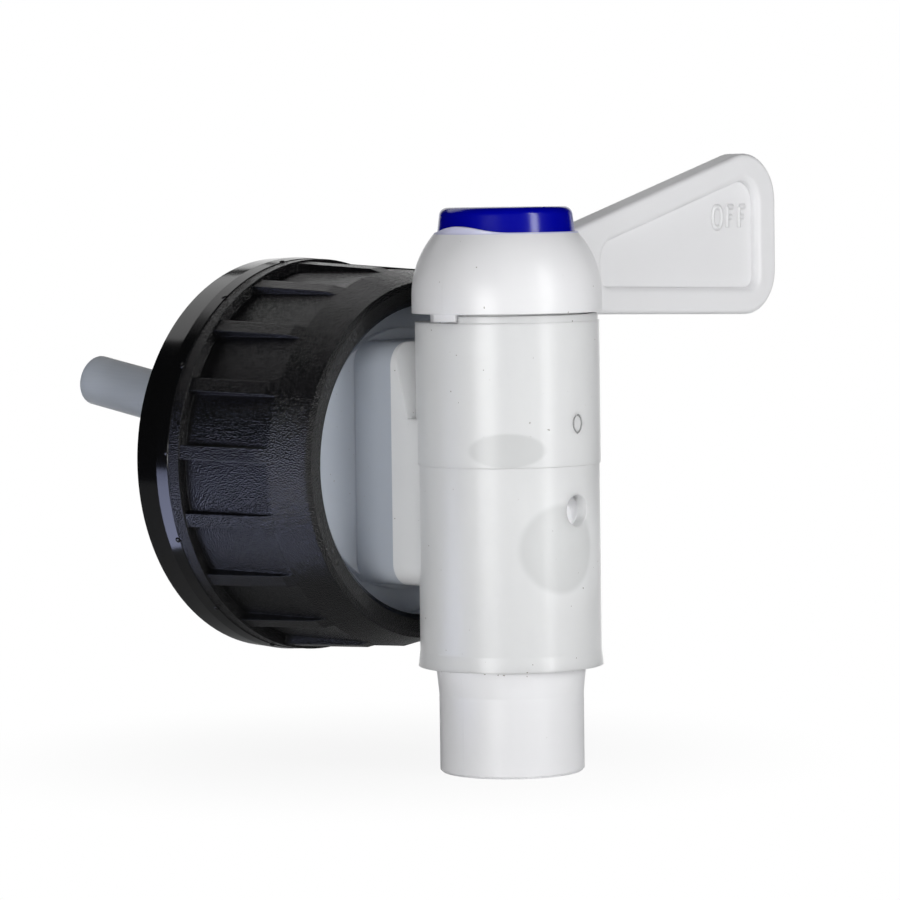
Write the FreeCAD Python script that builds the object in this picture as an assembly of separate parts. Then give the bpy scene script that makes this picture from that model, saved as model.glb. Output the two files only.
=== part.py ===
import FreeCAD, Part
import math
import os

from FreeCAD import Vector

# Container dosing tap in millimetres, +Z up, +Y into the container.
# The origin is the centre of the seal face on which the container's rim seats.
# The cap, flange and neck lie about the Y axis; the barrel stands parallel to Z.

# Clearances
RUNNING_FIT = 0.08          # radial, key's sealing lands in the barrel
FREE_GAP = 0.3              # between surfaces that pass each other
SEAT_GAP = 0.05             # radial, a piece pushed home in its seat
OVERRUN = 1.0               # cutters start this far outside the wall
FLANGE_ROOM = 2.0           # radial, flange in the cap's bore, past the thread
TOUCH = 0.01                # closer than this counts as the same place

# Barrel of the body
BARREL_OFFSET = 29.5        # seal face to barrel axis
BARREL_RADIUS = 15.5
BARREL_DRAFT = 0.2          # the lower mould half is this much slimmer
BARREL_WALL = 2.3
BARREL_TOP = 23.9
BARREL_BOTTOM = -34.0
FOOT_FLARE = 0.3            # outward lip at the foot
FOOT_FLARE_HEIGHT = 2.6
RETAINING_LIP = 2.5         # height of the inward lip that holds the key
LIP_OVERLAP = 0.9           # how far that lip reaches in from the bore
VENT_HOLE_RADIUS = 2.55     # air inlet in the barrel's front
VENT_HOLE_HEIGHT = -7.4
VENT_HOLE_RIM = 0.25        # width of the bevel round it
VENT_HOLE_SINK = 0.2        # depth of the bevel

# Stops of the quarter and half turn
STOP_RIM_HEIGHT = 1.2       # raised rim over the barrel's front half
STOP_RIM_INSET = 0.25
TAB_HALF_ANGLE = 8.8        # degrees, tab under the key's dome
KEY_TRAVEL = 180.0          # degrees, closed to open

# Neck between barrel and flange
NECK_HALF_WIDTH = 12.5
NECK_TOP = 20.5
NECK_BOTTOM = -20.8
NECK_CORNER = 4.0
NECK_WALL = 2.4
NECK_SET_BACK_TOP = 14.8    # barrel axis to the neck's front at its top
NECK_SET_BACK_LOW = 11.5    # and at the foot of that slope
NECK_SLOPE_FOOT = 7.7       # height of the foot, where a ledge runs to the barrel
INLET_RADIUS = 5.4          # liquid port through the barrel's back
INLET_HEIGHT = -12.8

# Flange that the cap clamps
FLANGE_THICKNESS = 2.4
BOSS_RADIUS = 22.5
BOSS_HEIGHT = 1.3           # step of the boss above the flange floor
CLAMP_RIM_WIDTH = 1.8       # rim at the flange's edge
CLAMP_RIM_HEIGHT = 4.4      # and its height above the flange floor
SEAL_THICKNESS = 2.0
SEAL_WIDTH = 6.1            # radial
SEAL_INSET = 0.4

# Vent tube and its socket
TUBE_RADIUS = 4.55
TUBE_WALL = 1.2
TUBE_RISE = 9.6             # degrees above the horizontal
TUBE_REACH = 72.2           # seal face to the tube's end
TUBE_ROOT = -10.6           # seal face to the tube's start
TUBE_ROOT_HEIGHT = -2.25
SOCKET_WALL = 1.7
SOCKET_END = -1.6           # the socket stops just inside the flange
AIR_PORT_WIDTH = 5.2
AIR_PORT_TOP = 5.6
AIR_PORT_BOTTOM = -4.4
AIR_DUCT_WALL = 1.6

# Turning key
KEY_WALL = 2.5
LAND_HEIGHT = 3.6           # sealing land, upper and lower
UPPER_LAND = 20.5           # height of the upper land's middle
LAND_BEVEL = 0.6
DOME_RADIUS = 16.0
DOME_SHOULDER = 2.8         # dome's foot to its widest circle
NOZZLE_RADIUS = 12.2
NOZZLE_BOTTOM = -52.0
NOZZLE_WALL = 1.8
NOZZLE_EDGE = 0.4
SNAP_CATCH = 0.35           # snap bead's reach past the retaining lip
SNAP_TAPER = 4.4
WINDOW_RADIUS = 7.8
WINDOW_HEIGHT = -13.5
SLOT_BOTTOM = 0.0
SLOT_WIDTH = 5.6
SLOT_HALF_ANGLE = 72.0      # degrees either side of the key's front
KEY_AIR_RADIUS = 2.0
PARTITION_WALL = 1.8
PARTITION_FRONT = -2.8      # height of the partition at the key's front
PARTITION_BACK = -11.5      # and at its back

# Collar and plug on the key
PLUG_RADIUS = 11.65
PLUG_TOP = 43.0
PLUG_SEAT = 37.9
PLUG_DRAFT = 0.45
PLUG_EDGE = 1.4
PLUG_SHANK = 4.6            # length of the plug below its seat
PLUG_WALL = 1.7
COLLAR_WALL = 0.4
COLLAR_BASE = 38.8
COLLAR_RISE = 1.1           # collar is this much higher by the handle
COLLAR_RISE_SPREAD = 8.6    # and runs out at this distance to each side

# Handle
HANDLE_THICKNESS = 4.8
HANDLE_REACH = 69.8         # barrel axis to the handle's end
HANDLE_ROOT_LOW = 24.6      # lower and upper edge at the collar
HANDLE_ROOT_HIGH = 38.2
HANDLE_END_LOW = 22.9       # lower and upper edge at the far end
HANDLE_END_HIGH = 54.4
HANDLE_UPPER_CORNER = 8.5
HANDLE_LOWER_CORNER = 8.0
HANDLE_EDGE = 1.0           # rounding of the long edges
PANEL_DEPTH = 1.5
PANEL_DRAFT = 0.15          # lean of the panel's wall over its depth
PANEL_EDGE = 1.3            # rounding of the panel's rim
PANEL_ROOT = 22.2           # barrel axis to the panel floor's inner end
PANEL_MARGIN = 4.75         # panel floor to the lower and upper edge
PANEL_MARGIN_END = 5.55
PANEL_UPPER_CORNER = 3.7
PANEL_LOWER_CORNER = 2.1

# Screw cap
CAP_PANEL_RADIUS = 32.4     # grip surface between the ribs
CAP_WALL = 1.7
CAP_FRONT = -12.1           # front face of the cap
CAP_BACK = 26.1
CAP_FRONT_WALL = 3.0
CAP_FRONT_LEDGE = 4.1       # front wall's reach in from the bore
CAP_HOLE_BEVEL = 0.9
CAP_LIP_BEVEL = 0.5
CAP_SHOULDER_RISE = 1.8     # shoulder's growth from the lip to the grip surface
CAP_SHOULDER_LENGTH = 7.6
CAP_RING_START = 15.2
CAP_RING_HEIGHT = 1.8       # ring over the grip surface
CAP_BAND_START = 17.7
CAP_BAND_STEP = 0.1         # rear band over the ring
CAP_CREST_HEIGHT = 0.2      # band's widest circle over its start
CAP_CREST_LENGTH = 2.6      # and its distance from the start
CAP_BAND_FALL = 0.2         # from the crest to the rear edge
CAP_EDGE = 0.9              # bevel of the rear edge
RIB_COUNT = 18
RIB_PHASE = 3.7             # degrees, first rib past level with the axis
RIB_WIDTH = 2.4
RIB_FRONT_HEIGHT = 0.6      # rib over the grip surface, at its front
RIB_REAR_HEIGHT = 1.5       # and at the ring
RIB_NOSE = 2.2              # sloped front end of a rib
RIB_ROOT = 0.8              # rib's foot inside the wall

# Facets of a rounded edge in a turned outline
ROUND_STEPS = 2

# Sizes that follow from the ones above
CAP_BORE_RADIUS = CAP_PANEL_RADIUS - CAP_WALL
CAP_HOLE_RADIUS = CAP_BORE_RADIUS - CAP_FRONT_LEDGE
CAP_LIP_RADIUS = CAP_PANEL_RADIUS - CAP_SHOULDER_RISE
CAP_SHOULDER_END = CAP_FRONT + CAP_SHOULDER_LENGTH
CAP_RING_RADIUS = CAP_PANEL_RADIUS + CAP_RING_HEIGHT
CAP_BAND_RADIUS = CAP_RING_RADIUS + CAP_BAND_STEP
CAP_CREST_RADIUS = CAP_BAND_RADIUS + CAP_CREST_HEIGHT
CAP_REAR_RADIUS = CAP_CREST_RADIUS - CAP_BAND_FALL
BORE_RADIUS = BARREL_RADIUS - BARREL_WALL
LIP_BORE = BORE_RADIUS - LIP_OVERLAP
STOP_RIM_TOP = BARREL_TOP + STOP_RIM_HEIGHT
DOME_BOTTOM = STOP_RIM_TOP + FREE_GAP
DOME_CENTRE = DOME_BOTTOM + DOME_SHOULDER
SHAFT_RADIUS = BORE_RADIUS - FREE_GAP
LAND_RADIUS = BORE_RADIUS - RUNNING_FIT
KEY_BORE = SHAFT_RADIUS - KEY_WALL
FLOOR_Y = -SEAL_THICKNESS - FLANGE_THICKNESS
FLANGE_RADIUS = CAP_BORE_RADIUS - FLANGE_ROOM
TUBE_AXIS = Vector(0, math.cos(math.radians(TUBE_RISE)), math.sin(math.radians(TUBE_RISE)))
TUBE_START = Vector(0, TUBE_ROOT, TUBE_ROOT_HEIGHT)
COLLAR_RADIUS = PLUG_RADIUS + SEAT_GAP + COLLAR_WALL
HANDLE_ROOT = COLLAR_RADIUS - COLLAR_WALL

X_AXIS = Vector(1, 0, 0)
Y_AXIS = Vector(0, 1, 0)
Z_AXIS = Vector(0, 0, 1)
BARREL_PLACE = Vector(0, -BARREL_OFFSET, 0)


def closed_face(corners):
    """Flat face with straight edges through the corner points."""
    return Part.Face(Part.makePolygon(corners + corners[:1]))


def turned_z(outline, sweep=360.0):
    """Solid turned about Z from (radius, height) points; the sweep starts at +X."""
    face = closed_face([Vector(radius, 0, height) for radius, height in outline])
    return face.revolve(Vector(), Z_AXIS, sweep)


def turned_y(outline):
    """Solid turned about Y from (radius, y) points."""
    face = closed_face([Vector(radius, y, 0) for radius, y in outline])
    return face.revolve(Vector(), Y_AXIS, 360.0)


def ring_z(outer, inner, low, high, sweep=360.0):
    """Ring about Z between two radii and two heights."""
    return turned_z([(inner, low), (outer, low), (outer, high), (inner, high)], sweep)


def turned_by(shape, angle, axis=Z_AXIS):
    """Copy of a shape turned about an axis through the origin."""
    copy = shape.copy()
    copy.rotate(Vector(), axis, angle)
    return copy


def moved_to_barrel(shape):
    """Copy of a shape carried from the Z axis to the barrel axis."""
    copy = shape.copy()
    copy.translate(BARREL_PLACE)
    return copy


def along(shape, axis):
    """Straight edges of a shape that run along an axis."""
    return [edge for edge in shape.Edges if edge.tangentAt(edge.FirstParameter).isParallel(axis, TOUCH)]


def fillet_at(shape, size, edges):
    """Round the edges of a shape that lie where the given edges do."""
    places = [edge.CenterOfMass for edge in edges]
    found = []
    for edge in shape.Edges:
        if any(edge.CenterOfMass.isEqual(place, TOUCH) for place in places):
            found.append(edge)
    return shape.makeFillet(size, found)


def rounded_corner(radius, height, size):
    """Points of a rounded top edge of a turned piece, from its side to its top."""
    points = []
    for step in range(ROUND_STEPS + 1):
        angle = math.radians(90.0 * step / ROUND_STEPS)
        points.append((radius - size + size * math.cos(angle), height - size + size * math.sin(angle)))
    return points


def rounded_bar(half_width, low, high, corner, front, back):
    """Bar along Y with a rounded rectangular section."""
    bar = Part.makeBox(2 * half_width, back - front, high - low, Vector(-half_width, front, low))
    return bar.makeFillet(corner, along(bar, Y_AXIS))


def barrel_shell():
    """Outside of the barrel about Z: two mould halves, slim below, with a flared foot."""
    lower = BARREL_RADIUS - BARREL_DRAFT
    outline = [
        (0, BARREL_BOTTOM),
        (lower + FOOT_FLARE, BARREL_BOTTOM),
        (lower, BARREL_BOTTOM + FOOT_FLARE_HEIGHT),
        (lower, 0),
        (BARREL_RADIUS, 0),
        (BARREL_RADIUS, BARREL_TOP),
        (0, BARREL_TOP),
    ]
    return turned_z(outline)


def barrel_bore():
    """Stepped bore about Z: narrow through the retaining lip, full size above it."""
    lip_top = BARREL_BOTTOM + RETAINING_LIP
    outline = [
        (0, BARREL_BOTTOM - OVERRUN),
        (LIP_BORE, BARREL_BOTTOM - OVERRUN),
        (LIP_BORE, lip_top),
        (BORE_RADIUS, lip_top),
        (BORE_RADIUS, STOP_RIM_TOP + OVERRUN),
        (0, STOP_RIM_TOP + OVERRUN),
    ]
    return turned_z(outline)


def stop_rim():
    """Raised rim over the barrel's front half; its ends stop the key's tab."""
    middle = BARREL_RADIUS - BARREL_WALL / 2
    end_angle = TAB_HALF_ANGLE + math.degrees(FREE_GAP / middle)
    sweep = KEY_TRAVEL - 2 * end_angle
    outer = BARREL_RADIUS - STOP_RIM_INSET
    rim = ring_z(outer, BORE_RADIUS, BARREL_TOP, STOP_RIM_TOP, sweep)
    return turned_by(rim, 180.0 + end_angle)


def vent_hole():
    """Air inlet through the barrel's front wall with a shallow bevel."""
    lower = BARREL_RADIUS - BARREL_DRAFT
    centre = Vector(0, 0, VENT_HOLE_HEIGHT)
    hole = Part.makeCylinder(VENT_HOLE_RADIUS, BARREL_RADIUS + OVERRUN, centre, -Y_AXIS)
    rim = VENT_HOLE_RADIUS + VENT_HOLE_RIM
    start = Vector(0, -lower + VENT_HOLE_SINK, VENT_HOLE_HEIGHT)
    depth = VENT_HOLE_SINK + OVERRUN
    wide = rim + OVERRUN * VENT_HOLE_RIM / VENT_HOLE_SINK
    bevel = Part.makeCone(VENT_HOLE_RADIUS, wide, depth, start, -Y_AXIS)
    return hole.fuse(bevel)


def neck_block(inset, front_extra, back):
    """Neck's outer form, or its cavity when inset by the wall, from barrel to flange."""
    bar = rounded_bar(
        NECK_HALF_WIDTH - inset,
        NECK_BOTTOM + inset,
        NECK_TOP - inset,
        max(NECK_CORNER - inset, FREE_GAP),
        -BARREL_OFFSET,
        back,
    )
    slope = (NECK_SET_BACK_TOP - NECK_SET_BACK_LOW) / (NECK_TOP - NECK_SLOPE_FOOT)
    shift = -BARREL_OFFSET + front_extra
    high = NECK_TOP + OVERRUN
    foot_y = shift + NECK_SET_BACK_LOW
    high_y = foot_y + slope * (high - NECK_SLOPE_FOOT)
    low = NECK_BOTTOM - OVERRUN
    side = closed_face([
        Vector(-BARREL_RADIUS, -BARREL_OFFSET, low),
        Vector(-BARREL_RADIUS, -BARREL_OFFSET, NECK_SLOPE_FOOT),
        Vector(-BARREL_RADIUS, foot_y, NECK_SLOPE_FOOT),
        Vector(-BARREL_RADIUS, high_y, high),
        Vector(-BARREL_RADIUS, back, high),
        Vector(-BARREL_RADIUS, back, low),
    ])
    return bar.common(side.extrude(Vector(2 * BARREL_RADIUS, 0, 0)))


def flange_disc():
    """Flange about Y: flat floor, central boss and the rim that the cap clamps."""
    rim_inner = FLANGE_RADIUS - CLAMP_RIM_WIDTH
    outline = [
        (0, -SEAL_THICKNESS),
        (FLANGE_RADIUS, -SEAL_THICKNESS),
        (FLANGE_RADIUS, FLOOR_Y - CLAMP_RIM_HEIGHT),
        (rim_inner, FLOOR_Y - CLAMP_RIM_HEIGHT),
        (rim_inner, FLOOR_Y),
        (BOSS_RADIUS, FLOOR_Y),
        (BOSS_RADIUS, FLOOR_Y - BOSS_HEIGHT),
        (0, FLOOR_Y - BOSS_HEIGHT),
    ]
    return turned_y(outline)


def air_duct_block():
    """Walls of the air duct inside the neck: a box off the barrel, then a round socket."""
    half = AIR_PORT_WIDTH / 2 + AIR_DUCT_WALL
    low = AIR_PORT_BOTTOM - AIR_DUCT_WALL
    high = AIR_PORT_TOP + AIR_DUCT_WALL
    box = Part.makeBox(2 * half, TUBE_ROOT + BARREL_OFFSET, high - low, Vector(-half, -BARREL_OFFSET, low))
    radius = TUBE_RADIUS + SEAT_GAP + SOCKET_WALL
    length = (SOCKET_END - TUBE_ROOT) / TUBE_AXIS.y + AIR_DUCT_WALL
    socket = Part.makeCylinder(radius, length, TUBE_START - TUBE_AXIS * AIR_DUCT_WALL, TUBE_AXIS)
    return box.fuse(socket)


def air_duct_bore():
    """Air way from the barrel bore to the vent tube, with the tube's seat."""
    height = AIR_PORT_TOP - AIR_PORT_BOTTOM
    depth = TUBE_ROOT - AIR_DUCT_WALL + BARREL_OFFSET
    start = Vector(-AIR_PORT_WIDTH / 2, -BARREL_OFFSET, AIR_PORT_BOTTOM)
    port = Part.makeBox(AIR_PORT_WIDTH, depth, height, start)
    bore = TUBE_RADIUS - TUBE_WALL
    link_start = TUBE_START - TUBE_AXIS * (2 * AIR_DUCT_WALL)
    link = Part.makeCylinder(bore, 3 * AIR_DUCT_WALL, link_start, TUBE_AXIS)
    seat_length = (SOCKET_END - TUBE_ROOT) / TUBE_AXIS.y + 2 * SEAL_THICKNESS
    seat = Part.makeCylinder(TUBE_RADIUS + SEAT_GAP, seat_length, TUBE_START, TUBE_AXIS)
    return port.fuse([link, seat])


def tap_body():
    """One moulding: barrel, stop rim, hollow neck, air duct and clamping flange."""
    neck = neck_block(0, 0, FLOOR_Y)
    outer = moved_to_barrel(barrel_shell()).fuse([neck, flange_disc()])
    outer = outer.fuse(moved_to_barrel(stop_rim()))
    cavity = neck_block(NECK_WALL, NECK_WALL, 0)
    cavity = cavity.cut(moved_to_barrel(barrel_shell()))
    duct = air_duct_block().common(cavity)
    body = outer.cut(cavity).fuse(duct)
    start = Vector(0, -BARREL_OFFSET, INLET_HEIGHT)
    inlet = Part.makeCylinder(INLET_RADIUS, BARREL_RADIUS + OVERRUN, start, Y_AXIS)
    cutters = [inlet, air_duct_bore(), moved_to_barrel(barrel_bore()), moved_to_barrel(vent_hole())]
    return body.cut(cutters).removeSplitter()


def key_outline():
    """Outside of the key from the nozzle's mouth up to the dome's foot."""
    lip_low = BARREL_BOTTOM - FREE_GAP
    lip_high = BARREL_BOTTOM + RETAINING_LIP + FREE_GAP
    groove = LIP_BORE - FREE_GAP
    bead = LIP_BORE + SNAP_CATCH
    outline = [
        (NOZZLE_RADIUS - NOZZLE_EDGE, NOZZLE_BOTTOM),
        (NOZZLE_RADIUS, NOZZLE_BOTTOM + NOZZLE_EDGE),
        (NOZZLE_RADIUS, lip_low - SNAP_TAPER),
        (bead, lip_low),
        (groove, lip_low),
        (groove, lip_high),
        (LAND_RADIUS, lip_high),
        (LAND_RADIUS, lip_high + LAND_HEIGHT),
        (SHAFT_RADIUS, lip_high + LAND_HEIGHT + LAND_BEVEL),
    ]
    low_land = UPPER_LAND - LAND_HEIGHT / 2
    high_land = UPPER_LAND + LAND_HEIGHT / 2
    outline += [
        (SHAFT_RADIUS, low_land - LAND_BEVEL),
        (LAND_RADIUS, low_land),
        (LAND_RADIUS, high_land),
        (SHAFT_RADIUS, high_land + LAND_BEVEL),
        (SHAFT_RADIUS, DOME_CENTRE),
    ]
    return outline


def key_core():
    """Key's shaft and nozzle, still solid, about Z."""
    return turned_z([(0, NOZZLE_BOTTOM)] + key_outline() + [(0, DOME_CENTRE)])


def dome():
    """Ball-shaped head on a short straight foot, cut off under the collar."""
    collar_foot = DOME_CENTRE + math.sqrt(DOME_RADIUS ** 2 - COLLAR_RADIUS ** 2)
    ball = Part.makeSphere(DOME_RADIUS, Vector(0, 0, DOME_CENTRE))
    keep = Part.makeCylinder(DOME_RADIUS, collar_foot - DOME_CENTRE, Vector(0, 0, DOME_CENTRE))
    foot = Part.makeCylinder(DOME_RADIUS, DOME_CENTRE - DOME_BOTTOM, Vector(0, 0, DOME_BOTTOM))
    return ball.common(keep).fuse(foot)


def collar_trim():
    """Cutter that leaves the collar's edge level, with a soft rise on the handle's line."""
    top = COLLAR_BASE + COLLAR_RISE
    half = COLLAR_RISE_SPREAD
    reach = COLLAR_RADIUS + OVERRUN
    points = []
    for quarter in range(-2, 3):
        share = quarter / 2
        rise = COLLAR_RISE * (1 + math.cos(math.pi * share)) / 2
        points.append(Vector(-reach, half * share, COLLAR_BASE + rise))
    curve = Part.BSplineCurve()
    curve.interpolate(Points=points, InitialTangent=Y_AXIS, FinalTangent=Y_AXIS)
    corners = [
        points[-1],
        Vector(-reach, reach, COLLAR_BASE),
        Vector(-reach, reach, top + OVERRUN),
        Vector(-reach, -reach, top + OVERRUN),
        Vector(-reach, -reach, COLLAR_BASE),
        points[0],
    ]
    outline = Part.Wire([curve.toShape()] + Part.makePolygon(corners).Edges)
    return Part.Face(outline).extrude(Vector(2 * reach, 0, 0))


def collar():
    """Thin collar that stands round the foot of the plug."""
    top = COLLAR_BASE + COLLAR_RISE
    low = PLUG_SEAT - COLLAR_WALL
    tube = ring_z(COLLAR_RADIUS, COLLAR_RADIUS - COLLAR_WALL, low, top)
    return tube.cut(collar_trim())


def handle_heights(x, inset):
    """Heights of the handle's lower and upper edge at x, both moved in square to the edge."""
    run = HANDLE_REACH - HANDLE_ROOT
    low_slope = (HANDLE_END_LOW - HANDLE_ROOT_LOW) / run
    high_slope = (HANDLE_END_HIGH - HANDLE_ROOT_HIGH) / run
    low = HANDLE_ROOT_LOW + low_slope * (x - HANDLE_ROOT) + inset * math.hypot(1, low_slope)
    high = HANDLE_ROOT_HIGH + high_slope * (x - HANDLE_ROOT) - inset * math.hypot(1, high_slope)
    return low, high


def handle_face(left, right, inset, y):
    """Four-sided face inside the handle's outline, between two x values, at a given y."""
    low_left, high_left = handle_heights(left, inset)
    low_right, high_right = handle_heights(right, inset)
    corners = [(left, low_left), (right, low_right), (right, high_right), (left, high_left)]
    return closed_face([Vector(x, y, z) for x, z in corners])


def handle_blank():
    """Handle's side outline, thick in Y, with its two outer corners rounded."""
    face = handle_face(HANDLE_ROOT, HANDLE_REACH, 0, -HANDLE_THICKNESS / 2)
    blank = face.extrude(Vector(0, HANDLE_THICKNESS, 0))
    corners = along(blank, Y_AXIS)
    for height, size in ((HANDLE_END_HIGH, HANDLE_UPPER_CORNER), (HANDLE_END_LOW, HANDLE_LOWER_CORNER)):
        tip = Vector(HANDLE_REACH, 0, height)
        blank = fillet_at(blank, size, [edge for edge in corners if edge.CenterOfMass.isEqual(tip, TOUCH)])
    return blank


def soften_handle(blank):
    """Round the long edges of both side faces, except at the root."""
    half = HANDLE_THICKNESS / 2
    edges = []
    for edge in blank.Edges:
        box = edge.BoundBox
        on_side = box.YLength < TOUCH and abs(abs(box.YMin) - half) < TOUCH
        if on_side and box.XMax > HANDLE_ROOT + TOUCH:
            edges.append(edge)
    return blank.makeFillet(HANDLE_EDGE, edges)


def panel_wire(y, spread):
    """Rounded outline of the sunk panel, moved out from its floor by a spread, at a given y."""
    left = PANEL_ROOT - spread
    right = HANDLE_REACH - PANEL_MARGIN_END + spread
    prism = handle_face(left, right, PANEL_MARGIN - spread, y).extrude(Y_AXIS)
    middle = sum(handle_heights(left, PANEL_MARGIN)) / 2
    corners = along(prism, Y_AXIS)
    upper = [edge for edge in corners if edge.CenterOfMass.z > middle]
    lower = [edge for edge in corners if edge.CenterOfMass.z < middle]
    for size, edges in ((PANEL_UPPER_CORNER, upper), (PANEL_LOWER_CORNER, lower)):
        prism = fillet_at(prism, size + spread, edges)
    flat = [item for item in prism.Faces if abs(item.BoundBox.YMax - y) < TOUCH]
    return flat[0].OuterWire


def panel_cutter(side):
    """Sunk panel with steep walls, on one side face of the handle."""
    face_y = side * HANDLE_THICKNESS / 2
    rim = panel_wire(face_y, PANEL_DRAFT)
    floor = panel_wire(face_y - side * PANEL_DEPTH, 0)
    return Part.makeLoft([rim, floor], True, True)


def round_panel_rims(blade):
    """Roll the handle's faces over into the walls of both panels."""
    half = HANDLE_THICKNESS / 2
    left = PANEL_ROOT - PANEL_EDGE
    right = HANDLE_REACH - PANEL_MARGIN_END + PANEL_EDGE
    rims = []
    for edge in blade.Edges:
        box = edge.BoundBox
        on_side = box.YLength < TOUCH and abs(abs(box.YMin) - half) < TOUCH
        if on_side and box.XMin > left and box.XMax < right:
            rims.append(edge)
    return blade.makeFillet(PANEL_EDGE, rims)


def handle():
    """Flat handle with rounded edges and a sunk panel on both sides."""
    blade = soften_handle(handle_blank())
    blade = round_panel_rims(blade.cut([panel_cutter(-1), panel_cutter(1)]))
    clear_of_rim = BARREL_RADIUS - STOP_RIM_INSET + FREE_GAP
    under_dome = Part.makeCylinder(clear_of_rim, DOME_BOTTOM - BARREL_TOP, Vector(0, 0, BARREL_TOP))
    return blade.cut(under_dome)


def stop_tab():
    """Tab under the dome, opposite the handle, that meets the ends of the stop rim."""
    low = BARREL_TOP + FREE_GAP
    tab = ring_z(DOME_RADIUS - STOP_RIM_INSET, KEY_BORE + KEY_WALL / 2, low, DOME_CENTRE, 2 * TAB_HALF_ANGLE)
    return turned_by(tab, 180.0 - TAB_HALF_ANGLE)


def key_slot():
    """Air slot round the key's front, with round ends."""
    middle = SLOT_BOTTOM + SLOT_WIDTH / 2
    end_angle = math.degrees(SLOT_WIDTH / 2 / SHAFT_RADIUS)
    half = SLOT_HALF_ANGLE - end_angle
    reach = LAND_RADIUS + OVERRUN
    inner = KEY_BORE - OVERRUN
    arc = ring_z(reach, inner, SLOT_BOTTOM, SLOT_BOTTOM + SLOT_WIDTH, 2 * half)
    cutters = [turned_by(arc, -90.0 - half)]
    for angle in (-90.0 - half, -90.0 + half):
        drill = Part.makeCylinder(SLOT_WIDTH / 2, reach - inner, Vector(inner, 0, middle), X_AXIS)
        cutters.append(turned_by(drill, angle))
    return cutters


def partition():
    """Sloping wall in the key: air above it, liquid below it."""
    span = 2 * KEY_BORE
    tilt = math.degrees(math.atan2(PARTITION_BACK - PARTITION_FRONT, span))
    middle = (PARTITION_FRONT + PARTITION_BACK) / 2
    size = 2 * span
    plate = Part.makeBox(size, size, PARTITION_WALL, Vector(-size / 2, -size / 2, -PARTITION_WALL / 2))
    plate.rotate(Vector(), X_AXIS, tilt)
    plate.translate(Vector(0, 0, middle))
    core = Part.makeCylinder(KEY_BORE + KEY_WALL / 2, size, Vector(0, 0, middle - size / 2))
    return plate.common(core)


def key_bores():
    """Hollows of the key: nozzle bore, key bore and the plug's two-step seat."""
    nozzle_bore = NOZZLE_RADIUS - NOZZLE_WALL
    step = BARREL_BOTTOM + RETAINING_LIP + FREE_GAP
    seat = PLUG_RADIUS + SEAT_GAP
    outline = [
        (0, NOZZLE_BOTTOM - OVERRUN),
        (nozzle_bore, NOZZLE_BOTTOM - OVERRUN),
        (nozzle_bore, step),
        (KEY_BORE, step + LAND_BEVEL),
        (KEY_BORE, PLUG_SEAT),
        (seat, PLUG_SEAT),
        (seat, COLLAR_BASE + COLLAR_RISE + OVERRUN),
        (0, COLLAR_BASE + COLLAR_RISE + OVERRUN),
    ]
    return turned_z(outline)


def valve_key():
    """One moulding: nozzle, shaft with its ports, dome, collar, stop tab and handle."""
    blank = key_core().fuse([dome(), collar(), stop_tab(), handle()])
    hollow = blank.cut(key_bores()).fuse(partition())
    window = Part.makeCylinder(WINDOW_RADIUS, LAND_RADIUS + OVERRUN, Vector(0, 0, WINDOW_HEIGHT), -Y_AXIS)
    keep_wall = Part.makeCylinder(KEY_BORE, 4 * WINDOW_RADIUS, Vector(0, 0, WINDOW_HEIGHT - 2 * WINDOW_RADIUS))
    air_hole = Part.makeCylinder(KEY_AIR_RADIUS, LAND_RADIUS + OVERRUN, Vector(0, 0, VENT_HOLE_HEIGHT), Y_AXIS)
    ports = [window.cut(keep_wall), air_hole.cut(keep_wall)] + key_slot()
    return moved_to_barrel(hollow.cut(ports).removeSplitter())


def top_plug():
    """Coloured push-in plug: tapered round head with a hollow shank below."""
    shank = KEY_BORE - SEAT_GAP
    hollow = shank - PLUG_WALL
    outline = [
        (0, PLUG_TOP - PLUG_WALL),
        (hollow, PLUG_TOP - PLUG_WALL),
        (hollow, PLUG_SEAT - PLUG_SHANK),
        (shank, PLUG_SEAT - PLUG_SHANK),
        (shank, PLUG_SEAT),
        (PLUG_RADIUS, PLUG_SEAT),
    ]
    outline += rounded_corner(PLUG_RADIUS - PLUG_DRAFT, PLUG_TOP, PLUG_EDGE)
    outline.append((0, PLUG_TOP))
    return moved_to_barrel(turned_z(outline))


def cap_blank():
    """Cap about Y: lip, tapered shoulder, sunk grip surface, ring and rear band."""
    taper = CAP_SHOULDER_RISE / CAP_SHOULDER_LENGTH
    bore_front = CAP_BORE_RADIUS - taper * (CAP_SHOULDER_LENGTH - CAP_FRONT_WALL)
    outline = [
        (CAP_HOLE_RADIUS, CAP_FRONT + CAP_FRONT_WALL),
        (CAP_HOLE_RADIUS, CAP_FRONT + CAP_HOLE_BEVEL),
        (CAP_HOLE_RADIUS + CAP_HOLE_BEVEL, CAP_FRONT),
        (CAP_LIP_RADIUS - CAP_HOLE_BEVEL, CAP_FRONT),
        (CAP_LIP_RADIUS, CAP_FRONT + CAP_LIP_BEVEL),
        (CAP_PANEL_RADIUS, CAP_SHOULDER_END),
        (CAP_PANEL_RADIUS, CAP_RING_START),
        (CAP_RING_RADIUS, CAP_RING_START),
        (CAP_RING_RADIUS, CAP_BAND_START),
        (CAP_BAND_RADIUS, CAP_BAND_START),
        (CAP_CREST_RADIUS, CAP_BAND_START + CAP_CREST_LENGTH),
        (CAP_REAR_RADIUS, CAP_BACK - CAP_EDGE),
        (CAP_REAR_RADIUS - CAP_EDGE, CAP_BACK),
        (CAP_BORE_RADIUS, CAP_BACK),
        (CAP_BORE_RADIUS, CAP_SHOULDER_END),
        (bore_front, CAP_FRONT + CAP_FRONT_WALL),
    ]
    return turned_y(outline)


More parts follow.
